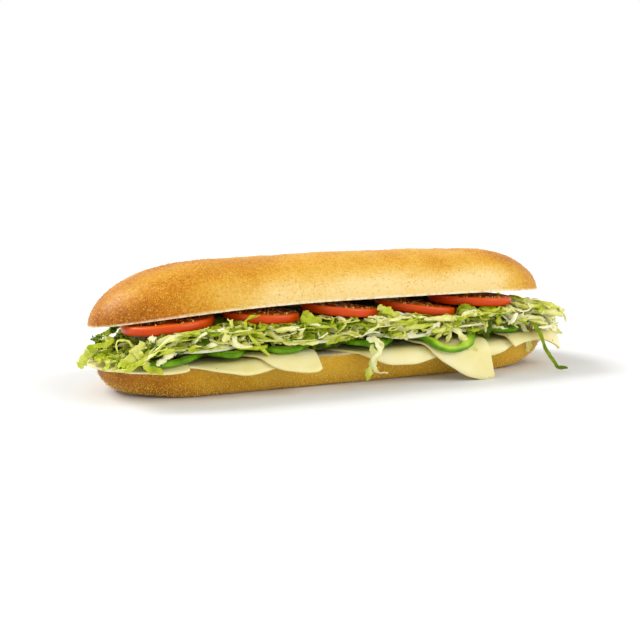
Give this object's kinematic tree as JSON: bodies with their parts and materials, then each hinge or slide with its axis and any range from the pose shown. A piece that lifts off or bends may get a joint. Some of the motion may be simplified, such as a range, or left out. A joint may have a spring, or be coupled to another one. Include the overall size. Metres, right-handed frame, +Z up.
{
  "type": "submarine sandwich",
  "caption": "Long split bread roll filled with cheese slices, green pepper, onion, shredded lettuce and tomato.",
  "frame": {"origin": "on the table under the middle of the loaf, in the plane of the bottom crust's flat underside", "axes": "+X along the loaf towards its right end, -Y towards the open front where the filling shows, +Z up"},
  "size_m": [0.3265, 0.1134, 0.0775],
  "materials": {
    "crust": "baked crust dusted with cornmeal",
    "cheese": "smooth, slightly waxy",
    "pepper": "glossy skin, moist flesh",
    "onion": "moist, translucent",
    "tomato": "wet cut face, glossy skin",
    "lettuce": "crisp, slightly waxy leaf"
  },
  "bodies": {
    "root": {"top_roll": "crust", "bottom_roll": "crust", "cheese_1": "cheese", "cheese_2": "cheese", "cheese_3": "cheese", "cheese_4": "cheese", "cheese_5": "cheese", "cheese_6": "cheese", "cheese_7": "cheese", "pepper_1": "pepper", "pepper_2": "pepper", "pepper_3": "pepper", "pepper_4": "pepper", "pepper_5": "pepper", "pepper_6": "pepper", "pepper_7": "pepper", "pepper_8": "pepper", "pepper_9": "pepper", "pepper_10": "pepper", "onion_1": "onion", "onion_2": "onion", "onion_3": "onion", "onion_4": "onion", "onion_5": "onion", "onion_6": "onion", "onion_7": "onion", "onion_8": "onion", "tomato_1": "tomato", "tomato_2": "tomato", "tomato_3": "tomato", "tomato_4": "tomato", "tomato_5": "tomato", "tomato_6": "tomato", "tomato_7": "tomato", "tomato_8": "tomato", "tomato_9": "tomato", "lettuce": "lettuce"}
  },
  "joints": []
}
